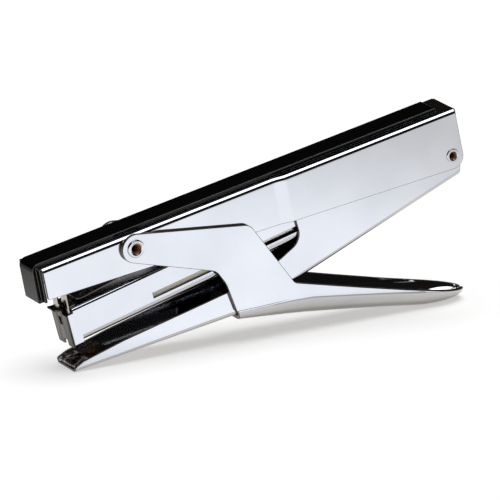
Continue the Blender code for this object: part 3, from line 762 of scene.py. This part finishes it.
def eyelet(name, node, at, bore, mouth, shank, flange, inner, outer, steps=48):
    """A tubular rivet across the stapler at a side-view point, its ends rolled over.

    Its bore, mouth, shank and flange are radii. The rolled end lies between inner and outer, which
    are distances from the middle plane.
    """
    roll = (outer - inner) / 2
    inside = [
        (bore - 0.5, 0.0),
        (bore - 0.5, outer - 2.0),
        (bore - 0.4, outer - 1.2),
        (mouth, outer - 0.12),
        (mouth + 0.12, outer),
    ]
    outside = [
        (flange - 1.2 * roll, outer),
        (flange - 0.4 * roll, outer - 0.4 * roll),
        (flange, outer - roll),
        (flange - 0.3 * roll, inner),
        (shank, inner),
        (shank, 0.0),
    ]
    bm = bmesh.new()
    verts = [bm.verts.new((at[0] + radius, y, at[1])) for radius, y in inside + outside]
    for pair in zip(verts, verts[1:]):
        bm.edges.new(pair)
    bmesh.ops.mirror(bm, geom=bm.verts[:] + bm.edges[:], axis="Y", merge_dist=SAME_POINT)
    bmesh.ops.spin(
        bm,
        geom=bm.verts[:] + bm.edges[:],
        cent=(at[0], 0, at[1]),
        axis=(0, 1, 0),
        angle=math.tau,
        steps=steps,
        use_merge=True,
    )
    bmesh.ops.remove_doubles(bm, verts=bm.verts, dist=SAME_POINT)
    bmesh.ops.recalc_face_normals(bm, faces=bm.faces)
    for face in bm.faces:
        centre = face.calc_center_median()
        if math.hypot(centre.x - at[0], centre.z - at[1]) < mouth:
            face.material_index = 1
    finishes = (chrome, brown_bore)
    made = piece(name, bm, "upper_handle", [node], finishes, edge=0.03, angle=60)
    made.modifiers["broken edges"].material = -1  # each face keeps its own finish: no edge here is cut


eyelet(
    "front_eyelet",
    "front_pivot_rivet",
    FRONT_PIN,
    bore=1.8,
    mouth=2.2,
    shank=2.3,
    flange=3.6,
    inner=10.25,
    outer=10.7,
)
eyelet(
    "rear_eyelet",
    "rear_pivot_rivet",
    REAR_PIN,
    bore=1.5,
    mouth=1.7,
    shank=2.1,
    flange=2.8,
    inner=9.65,
    outer=9.9,
)

# ---------------------------------------------------------------- opening spring
# The opening spring is tempered wire, wound round the rear pin in five turns and a third. One of its
# straight legs bears on the upper handle's web and the other on the arm's, and it spreads the two.


def coil(bm, wire, start, lean, centre, axis, turn, advance, steps):
    """A coiled round wire in an empty drawing, turned about an axis while it advances.

    Its end leans about Y.
    """
    end = Matrix.Translation(start) @ Matrix.Rotation(math.radians(lean), 4, "Y")
    circle = bmesh.ops.create_circle(bm, segments=10, radius=wire, matrix=end)["verts"]
    first = bm.edges[:]
    shift = Vector(axis) * (advance / steps)
    made = bmesh.ops.spin(
        bm, geom=circle + first, cent=centre, axis=axis, dvec=shift, angle=math.radians(turn), steps=steps
    )["geom_last"]
    return first, edges_of(made)


def close_ends(bm):
    """Caps a wire and turns its faces outwards."""
    bmesh.ops.holes_fill(bm, edges=[edge for edge in bm.edges if edge.is_boundary])
    bmesh.ops.recalc_face_normals(bm, faces=bm.faces)


COIL_RADIUS, COIL_WIRE, COIL_HALF, COIL_TURNS, COIL_STEPS = 3.6, 0.6, 3.6, 5, 130
LEG_START, LEG_END = 66.5, -54.9  # angles round the pin where the straight legs leave the coil
UPPER_LEG_TIP, LOWER_LEG_TIP = (148.0, 75.0), (152.0, 47.1)


def off_coil(leaves_at, y):
    """The point where the wire leaves the coil, at an angle round the pin."""
    angle = math.radians(leaves_at)
    across, up = COIL_RADIUS * math.cos(angle), COIL_RADIUS * math.sin(angle)
    return Vector((REAR_PIN[0] + across, y, REAR_PIN[1] + up))


bm = bmesh.new()
top, low = off_coil(LEG_START, -COIL_HALF), off_coil(LEG_END, COIL_HALF)
first, last = coil(
    bm,
    COIL_WIRE,
    start=top,
    lean=-LEG_START,
    centre=(REAR_PIN[0], 0, REAR_PIN[1]),
    axis=(0, 1, 0),
    turn=COIL_TURNS * 360 + LEG_START - LEG_END,
    advance=2 * COIL_HALF,
    steps=COIL_STEPS,
)
carry(bm, first, lambda co: co + Vector((UPPER_LEG_TIP[0] - top.x, 0, UPPER_LEG_TIP[1] - top.z)))
carry(bm, last, lambda co: co + Vector((LOWER_LEG_TIP[0] - low.x, 0, LOWER_LEG_TIP[1] - low.z)))
close_ends(bm)
spring = piece(
    "return_spring", bm, None, ["opening_spring"], spring_steel, edge=0.05, angle=60
)
ends = (TO_FRAME @ Vector((REAR_PIN[0], y, REAR_PIN[1])) for y in (-COIL_HALF, COIL_HALF))
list(ends)
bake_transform(spring)

# ---------------------------------------------------------------- anvil arm
# The arm is a U of 1 mm sheet, open upwards, that bends at the fulcrum and runs back inside the
# upper handle to the rear pin. It is pressed, blanked along its top edge, and chromed.

FULCRUM = (77.4, 12.5)
LOW_SLOPE, HIGH_SLOPE = FULCRUM[1] / FULCRUM[0], 0.4331
FULCRUM_EASE = 0.15
ARM_GAUGE = 1.0
ARM_END = 172.1
ARM_TAPER = (18.0, 58.0)
ARM_HALVES, ARM_BENDS = (7.7, 8.3), (1.8, 2.5)


def arm_web(x):
    """Height of the outside of the arm's web: two straight runs, eased into each other."""
    low, high = x * LOW_SLOPE, FULCRUM[1] + (x - FULCRUM[0]) * HIGH_SLOPE
    return (low + high + math.sqrt((high - low) ** 2 + 4 * FULCRUM_EASE**2)) / 2


def arm_half(x):
    return ARM_HALVES[0] + (ARM_HALVES[1] - ARM_HALVES[0]) * between(x, *ARM_TAPER)


def arm_bend(x):
    """Radius of the bend, and its height above the web where the web slopes."""
    radius = ARM_BENDS[0] + (ARM_BENDS[1] - ARM_BENDS[0]) * between(x, *ARM_TAPER)
    slope = (arm_web(x + 0.1) - arm_web(x - 0.1)) / 0.2
    return radius, radius * math.hypot(1, slope)


def arm_section(x, turn):
    """The bend between the wall and the web, as (y, z) at a turn from 0 to 1."""
    angle = turn * math.pi / 2
    radius, rise = arm_bend(x)
    return radius - arm_half(x) - radius * math.cos(angle), arm_web(x) + rise * (1 - math.sin(angle))


arm_stations = [ARM_END, 120.0, *reversed(spaced(72.0, 84.0, 12)), 58.0, 44.0, 30.0, 18.0, 8.0, 0.0]
arm_rim = [(x, arm_section(x, 0)[1]) for x in arm_stations]
bm = plate(
    [
        (0.0, 1.95),
        (0.6, 2.35),
        (3.7, 4.1),
        (9.6, 6.0),
        (21.3, 9.7, 20.0),
        (67.2, 22.0, 30.0),
        (89.5, 31.1, 20.0),
        (100.0, 38.2, 6.0),
        (97.3, 47.0),
        (98.0, 52.0, 3.0),
        (163.0, 70.0, 5.0),
        (169.5, 70.0, 3.0),
        (ARM_END, 62.0, 3.0),
        *arm_rim,
    ]
)
pierce(bm, [(*REAR_PIN, WALL_HOLE)])
cut_across(bm, ARM_TAPER)
for vert in bm.verts:
    vert.co.y = -arm_half(vert.co.x)
rim = [
    edge
    for edge in bm.edges
    if all(abs(vert.co.z - arm_section(vert.co.x, 0)[1]) < 10 * SAME_POINT for vert in edge.verts)
]
rim = fold(bm, rim, arm_section)
carry(bm, rim, to_middle)
both_sides(bm)
piece("arm", bm, "anvil_arm", ["anvil_arm"], sheet, gauge=ARM_GAUGE)

# ---------------------------------------------------------------- magazine
# The magazine is a box of 0.6 mm sheet with its lips turned in under the staple core and a slot in
# each wall that shows the pusher. It is chromed like the handles.

MAGAZINE = pitched(0.3, 10.8, 15.0)
SHELL_HALF, SHELL_HEIGHT, SHELL_GAUGE = 7.1, 15.0, 0.6
SHELL_BEND, LIP_ROUND, LIP_EDGE = 1.3, 3.2, 3.3
EXIT_BACK, SHORT_EDGE = 4.2, 20.0
SHELL_WALL_TOP = SHELL_HEIGHT - SHELL_BEND
PUSHER_SLOT = ((37.0, 4.3), (132.0, 6.5))
CROSS_PIN, CROSS_PIN_HOLE, CROSS_PIN_RADIUS = (143.5, 4.0), 1.2, 1.0


def shell_top(x, turn):
    angle = turn * math.pi / 2
    return SHELL_BEND * (1 - math.cos(angle)) - SHELL_HALF, SHELL_WALL_TOP + SHELL_BEND * math.sin(angle)


def shell_lip(x, turn):
    angle = turn * math.pi / 2
    return LIP_ROUND * (1 - math.cos(angle)) - SHELL_HALF, LIP_ROUND * (1 - math.sin(angle))


bm = plate(
    [
        (0.0, 0.0),
        (0.0, 13.2),
        (2.5, 13.2),
        (2.5, SHELL_WALL_TOP),
        (152.9, SHELL_WALL_TOP),
        (156.0, 11.6, 4.0),
        (180.0, 10.6, 4.0),
        (178.6, 2.6, 4.0),
        (158.0, 3.0, 4.0),
        (157.1, LIP_ROUND),
        (EXIT_BACK, LIP_ROUND),
        (EXIT_BACK, 0.0),
    ],
    y=-SHELL_HALF,
)
holes = [(*in_drawing(MAGAZINE, *REAR_PIN), WALL_HOLE), (*CROSS_PIN, CROSS_PIN_HOLE)]
pierce(bm, holes, PUSHER_SLOT)
for height, section, edge_y in ((SHELL_WALL_TOP, shell_top, 0.0), (LIP_ROUND, shell_lip, -LIP_EDGE)):
    rim = [
        edge
        for edge in bm.edges
        if all(abs(vert.co.z - height) < SAME_POINT for vert in edge.verts)
        and edge.calc_length() > SHORT_EDGE
    ]
    rim = fold(bm, rim, section)
    carry(bm, rim, lambda co: Vector((co.x, edge_y, co.z)))
both_sides(bm)
piece("magazine_box", bm, "magazine", ["magazine_shell"], sheet, MAGAZINE, SHELL_GAUGE, edge=0.16)

# ---------------------------------------------------------------- front guide
# The guide closes the slot that the driver runs in. It is a strip of hardened steel, bent forward at
# the top into a nose, oiled and dark, with draw lines that run down it.

# Oiled tool steel: near black, with paler streaks where the oil has run thin.

STREAK_MM, STREAK_LENGTH_MM = 1.1, 40.0  # coarser than real streaks, so that they show

tool_steel, tree, shader, spot = new_material("oiled tool steel", "#5E554C", 1.0, 0.22)
lines = add_node(
    tree,
    "ShaderNodeMapping",
    {"Vector": spot, "Scale": (1000 / STREAK_LENGTH_MM, 1000 / STREAK_MM, 1000 / STREAK_LENGTH_MM)},
).outputs["Vector"]
streak = add_node(tree, "ShaderNodeTexNoise", {"Vector": lines, "Scale": 1.0, "Detail": 2.0}).outputs["Fac"]
thin_oil = add_node(
    tree,
    "ShaderNodeMapRange",
    {"Value": streak, "From Min": 0.38, "From Max": 0.66},
    interpolation_type="SMOOTHSTEP",
).outputs["Result"]
tint = add_node(
    tree,
    "ShaderNodeMix",
    {SHARE: thin_oil, FROM: linear("#120E0B"), TO: linear("#6A6259")},
    data_type="RGBA",
).outputs[MIXED]
tree.links.new(tint, shader.inputs["Base Color"])
rough = add_node(
    tree,
    "ShaderNodeMapRange",
    {"Value": streak, "From Min": 0.3, "From Max": 0.7, "To Min": 0.3, "To Max": 0.12},
).outputs["Result"]
tree.links.new(rough, shader.inputs["Roughness"])
bump = add_node(tree, "ShaderNodeBump", {"Height": streak, "Strength": 0.4, "Distance": 0.00006})
tree.links.new(bump.outputs["Normal"], shader.inputs["Normal"])

GUIDE_HALF, GUIDE_LOW, SHOULDER, GUIDE_BEND = 6.3, -1.4, 12.6, 13.64
GUIDE_X, GUIDE_GAUGE = -0.25, 0.8
GUIDE_WINDOW = ((-1.1, 7.5), (1.1, 11.0))
NOTCH_HALF, NOTCH_TOP = 1.6, 1.0
NOSE_HALF, NOSE_BEND, NOSE_TURN, NOSE_LENGTH = 3.0, 0.6, 74.5, 2.6
bm = blank(
    [
        (-GUIDE_HALF, GUIDE_LOW),
        (-NOTCH_HALF, GUIDE_LOW),
        (-NOTCH_HALF, NOTCH_TOP),
        (NOTCH_HALF, NOTCH_TOP),
        (NOTCH_HALF, GUIDE_LOW),
        (GUIDE_HALF, GUIDE_LOW),
        (GUIDE_HALF, SHOULDER, 0.6),
        (NOSE_HALF, SHOULDER, 0.5),
        (NOSE_HALF, GUIDE_BEND),
        (-NOSE_HALF, GUIDE_BEND),
        (-NOSE_HALF, SHOULDER, 0.5),
        (-GUIDE_HALF, SHOULDER, 0.6),
    ],
    GUIDE_WINDOW,
    GUIDE_X,
)
bend_over(bm, GUIDE_BEND, (GUIDE_X - NOSE_BEND, GUIDE_BEND), NOSE_BEND, 0, NOSE_TURN, NOSE_LENGTH)
face_forward(bm)
piece("guide", bm, "magazine", ["front_guide"], tool_steel, MAGAZINE, GUIDE_GAUGE, edge=0.12)

# ---------------------------------------------------------------- staples and their rail
# The staples are glued into a strip that straddles a core of folded sheet. Behind them a moulded
# pusher slides on a rod, driven by a coil spring that a block at the rear holds.

STAPLES, STAPLE_PITCH, STAPLE_WIDTH = 50, 0.5, 0.46
STRIP_START, STAPLE_HALF, STAPLE_LOW, STAPLE_TOP, STAPLE_WIRE = 2.2, 6.3, 2.0, 8.0, 0.5
leg = STAPLE_HALF - STAPLE_WIRE
bm = plate(
    [
        (-STAPLE_HALF, STAPLE_LOW),
        (-STAPLE_HALF, STAPLE_TOP, 0.4),
        (STAPLE_HALF, STAPLE_TOP, 0.4),
        (STAPLE_HALF, STAPLE_LOW),
        (leg, STAPLE_LOW),
        (leg, STAPLE_TOP - STAPLE_WIRE),
        (-leg, STAPLE_TOP - STAPLE_WIRE),
        (-leg, STAPLE_LOW),
    ],
    segments=2,
)
for vert in bm.verts:
    vert.co = Vector((STRIP_START, vert.co.x, vert.co.z))
made = bmesh.ops.extrude_face_region(bm, geom=bm.faces[:])["geom"]
for vert in verts_of(made):
    vert.co.x += STAPLE_WIDTH
one = bm.verts[:] + bm.edges[:] + bm.faces[:]
for i in range(1, STAPLES):
    copied = bmesh.ops.duplicate(bm, geom=one)["geom"]
    bmesh.ops.translate(bm, verts=verts_of(copied), vec=(STAPLE_PITCH * i, 0, 0))
bmesh.ops.recalc_face_normals(bm, faces=bm.faces)
piece("staples", bm, "magazine", ["staple_strip"], bright_steel, MAGAZINE, edge=0.09)


def bar(bm, start, end, radius, steps=32):
    """A round bar between two points."""
    start, end = Vector(start), Vector(end)
    along = end - start
    place = Matrix.Translation((start + end) / 2) @ along.to_track_quat("Z", "Y").to_matrix().to_4x4()
    bmesh.ops.create_cone(
        bm, cap_ends=True, segments=steps, radius1=radius, radius2=radius, depth=along.length, matrix=place
    )


ROD_START, ROD_END, ROD_HEIGHT, ROD_RADIUS = 4.6, 145.0, 11.4, 1.2
bm = bmesh.new()
bar(bm, (ROD_START, 0, ROD_HEIGHT), (ROD_END, 0, ROD_HEIGHT), ROD_RADIUS)
piece("rod", bm, "magazine", ["pusher_rod"], bright_steel, MAGAZINE, edge=0.3)
bm = bmesh.new()
ends = ((CROSS_PIN[0], y, CROSS_PIN[1]) for y in (-SHELL_HALF, SHELL_HALF))
bar(bm, *ends, CROSS_PIN_RADIUS)
piece("cross_pin", bm, "magazine", ["stop_cross_pin"], bright_steel, MAGAZINE, edge=0.2)

SPRING_RADIUS, SPRING_WIRE, SPRING_TURNS, STEPS_A_TURN = 1.9, 0.3, 17, 24
SPRING_START, SPRING_END = 40.2, 140.1
bm = bmesh.new()
coil(
    bm,
    SPRING_WIRE,
    start=(SPRING_START, SPRING_RADIUS, ROD_HEIGHT),
    lean=0,
    centre=(0, 0, ROD_HEIGHT),
    axis=(1, 0, 0),
    turn=360 * SPRING_TURNS,
    advance=SPRING_END - SPRING_START,
    steps=STEPS_A_TURN * SPRING_TURNS,
)
close_ends(bm)
spring = piece(
    "feed_spring", bm, None, ["pusher_spring"], spring_steel, MAGAZINE, edge=0.05, angle=60
)
ends = (TO_FRAME @ MAGAZINE @ Vector((x, 0, ROD_HEIGHT)) for x in (SPRING_END, SPRING_START))
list(ends)
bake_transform(spring)

# Cream acetal, moulded: a soft sheen, a little light let in, and faint clouds where the melt flowed.

FLOW_MM = 5.0

acetal, tree, shader, spot = new_material("cream acetal", "#EAE1D2", 0.0, 0.42)
shader.inputs["Subsurface Weight"].default_value = 0.15
shader.inputs["Subsurface Scale"].default_value = 0.002
flow = add_node(
    tree, "ShaderNodeTexNoise", {"Vector": spot, "Scale": 1000 / FLOW_MM, "Detail": 3.0}
).outputs["Fac"]
tint = add_node(
    tree, "ShaderNodeMix", {SHARE: flow, FROM: linear("#E0D6C5"), TO: linear("#F2EBDD")}, data_type="RGBA"
).outputs[MIXED]
tree.links.new(tint, shader.inputs["Base Color"])
keep("pusher", acetal, edge=0.3)
keep("rear_stop_block", abs_black, edge=0.3)
keep("staple_core", bright_steel, edge=0.15)
keep("rod_front_tab", bright_steel, edge=0.15)

# ---------------------------------------------------------------- squeeze lever
# The lever is 1.5 mm sheet: two ears on the front pin, and a trough that grows rounder towards the
# hand and closes like the bow of a boat at its tip. It is deep drawn and chromed.

LEVER_GAUGE = 1.5
LEVER_HALF, TAIL_HALF = 10.1, 8.5
TAPER_START, SCOOP_START, SCOOP_LENGTH, SCOOP_RISE = 106.0, 163.0, 14.93, 3.0
EAR_END, EAR_RADIUS = 104.2, 5.84
EAR_HIGH, EAR_LOW = 127.875, 213.225  # angles round the front pin of the ear's two front corners
TROUGH_FRONT, TROUGH_FRONT_HEIGHT, FRONT_LEAN = 70.6, 14.1, 0.38
BEND_START, FIRST_BEND, BEND_GROWTH, FULLEST_BEND = 73.0, 4.7, 0.164, 0.93
KEEL = (
    (60.0, 10.7),
    (78.0, 8.9),
    (106.0, 5.9),
    (124.0, 4.1),
    (142.0, 2.1),
    (152.0, 0.8),
    (158.5, 0.0),
    (163.0, 0.0),
)
GUNWALE = (
    (EAR_END, 19.9),
    (125.0, 15.1),
    (146.6, 10.3),
    (155.0, 8.6),
    (162.3, 7.1),
    (169.0, 5.8),
    (184.0, 3.5),
)


def read(table, x):
    """A value between the rows (x, value) of a table."""
    for (low, first), (high, last) in zip(table, table[1:]):
        if x <= high:
            break
    return first + (last - first) * between(x, low, high)


def keel(x):
    """Height of the trough's underside, which sweeps up at the bow."""
    bow = between(x, SCOOP_START, SCOOP_START + SCOOP_LENGTH)
    return read(KEEL, x) + SCOOP_RISE * (1 - math.sqrt(1 - bow**2))


def lever_half(x):
    bow = between(x, SCOOP_START, SCOOP_START + SCOOP_LENGTH)
    straight = LEVER_HALF + (TAIL_HALF - LEVER_HALF) * between(x, TAPER_START, SCOOP_START)
    return straight * math.sqrt(1 - bow**2)


def lever_bend(x):
    """Radius between the trough's wall and its floor, which grows until the section is almost round."""
    return min(FIRST_BEND + BEND_GROWTH * (x - BEND_START), FULLEST_BEND * lever_half(x))


ARC_STEPS = 14


def lever_section(bm, x, front=None):
    """Half a section of the trough, from the keel out to the sheet's edge, as a chain of edges."""
    half, radius, low = lever_half(x), lever_bend(x), keel(x)
    height = radius if x < EAR_END else read(GUNWALE, x) - low
    full = math.acos(max(1 - height / radius, 0.0))
    points = [(0.0, low)]
    for i in range(ARC_STEPS + 1):
        angle = full * i / ARC_STEPS
        points.append((radius - half - radius * math.sin(angle), low + radius * (1 - math.cos(angle))))
    if x >= EAR_END:
        points.append((-half if height > radius else points[-1][0], low + max(height, points[-1][1] - low)))
    verts = []
    for y, z in points:
        lean = front(z) if front else x
        verts.append(bm.verts.new((lean, y, z)))
    return [bm.edges.new(pair) for pair in zip(verts, verts[1:])]


def front_lean(z):
    """The trough's front edge slopes back as it goes down."""
    return TROUGH_FRONT + FRONT_LEAN * (TROUGH_FRONT_HEIGHT - z)


def ear_corner(angle):
    """A corner of the ear, rounded so that its arc runs round the front pin."""
    reach = EAR_RADIUS / math.cos(math.radians((EAR_LOW - EAR_HIGH) / 2))
    lean = math.radians(angle)
    rounding = EAR_RADIUS * 0.998  # a hair under, so that the two arcs don't quite meet
    return FRONT_PIN[0] + reach * math.cos(lean), FRONT_PIN[1] + reach * math.sin(lean), rounding


def span(bm, chains):
    """Spans the trough's sheet between one section and the next."""
    for one, other in zip(chains, chains[1:]):
        bmesh.ops.bridge_loops(bm, edges=one + other)


ear_stations = [78.0, 85.0, 95.0, EAR_END - 0.001]
FIRST = 71.5
first_top = keel(FIRST) + lever_bend(FIRST)
bm = plate(
    [
        ear_corner(EAR_HIGH),
        ear_corner(EAR_LOW),
        (60.9, 32.1, 5.0),
        (65.2, 26.4, 12.0),
        (front_lean(first_top), first_top),
        *[(x, keel(x) + lever_bend(x)) for x in ear_stations],
        (EAR_END, read(GUNWALE, EAR_END)),
        (96.2, 21.7, 3.0),
        (76.0, 48.7, 5.0),
    ],
    y=-LEVER_HALF,
    segments=12,
)
pierce(bm, [(*FRONT_PIN, FRONT_HOLE)])
stations = spaced(EAR_END, SCOOP_START, 16)
stations += [SCOOP_START + SCOOP_LENGTH * math.sin(math.radians(turn)) for turn in spaced(7, 84, 13)]
SEAM_GAP, SLIVER = 5e-3, 1e-3  # millimetres: gaps this narrow are closed, and edges this short go
span(bm, [lever_section(bm, FIRST, front_lean), *[lever_section(bm, x) for x in ear_stations]])
span(bm, [lever_section(bm, x) for x in stations])
bmesh.ops.remove_doubles(bm, verts=bm.verts, dist=SEAM_GAP)
bmesh.ops.dissolve_degenerate(bm, edges=bm.edges[:], dist=SLIVER)
both_sides(bm)
piece("lever", bm, "lever", ["squeeze_lever"], sheet, gauge=LEVER_GAUGE)

# ---------------------------------------------------------------- anvil
# The anvil is a hardened steel plate at the arm's front tip, with two grooves that clinch a staple's
# legs. Behind it lies a base plate, pressed from nickel plated sheet and riveted to the arm.

# Hardened steel: dark and polished, with pale matt spots scattered at random, which are painted glints.

GLINT_SPOT_MM = 1.6

anvil_steel, tree, shader, spot = new_material("hardened anvil steel", "#8F877E", 0.55, 0.4)
glint_noise = add_node(
    tree, "ShaderNodeTexNoise", {"Vector": spot, "Scale": 1000 / GLINT_SPOT_MM, "Detail": 2.0}
).outputs["Fac"]
rough = add_node(
    tree,
    "ShaderNodeMapRange",
    {"Value": glint_noise, "From Min": 0.4, "From Max": 0.62, "To Min": 0.2, "To Max": 0.62},
).outputs["Result"]
tree.links.new(rough, shader.inputs["Roughness"])
painted_glints = add_node(
    tree, "ShaderNodeMapRange", {"Value": glint_noise, "From Min": 0.44, "From Max": 0.62}
).outputs["Result"]
# Painted glints: the pale spots are mixed into the dark steel's colour.
tint = add_node(
    tree, "ShaderNodeMix", {SHARE: painted_glints, FROM: linear("#5A524A"), TO: linear("#F0ECE4")}, data_type="RGBA"
).outputs[MIXED]
tree.links.new(tint, shader.inputs["Base Color"])
keep("anvil_plate", anvil_steel, edge=0.22, rim=bright_steel)
keep("anvil_base_plate", nickel, edge=0.15, rim=bright_steel)
keep("anvil_rivet", brown_bore, edge=0.1)
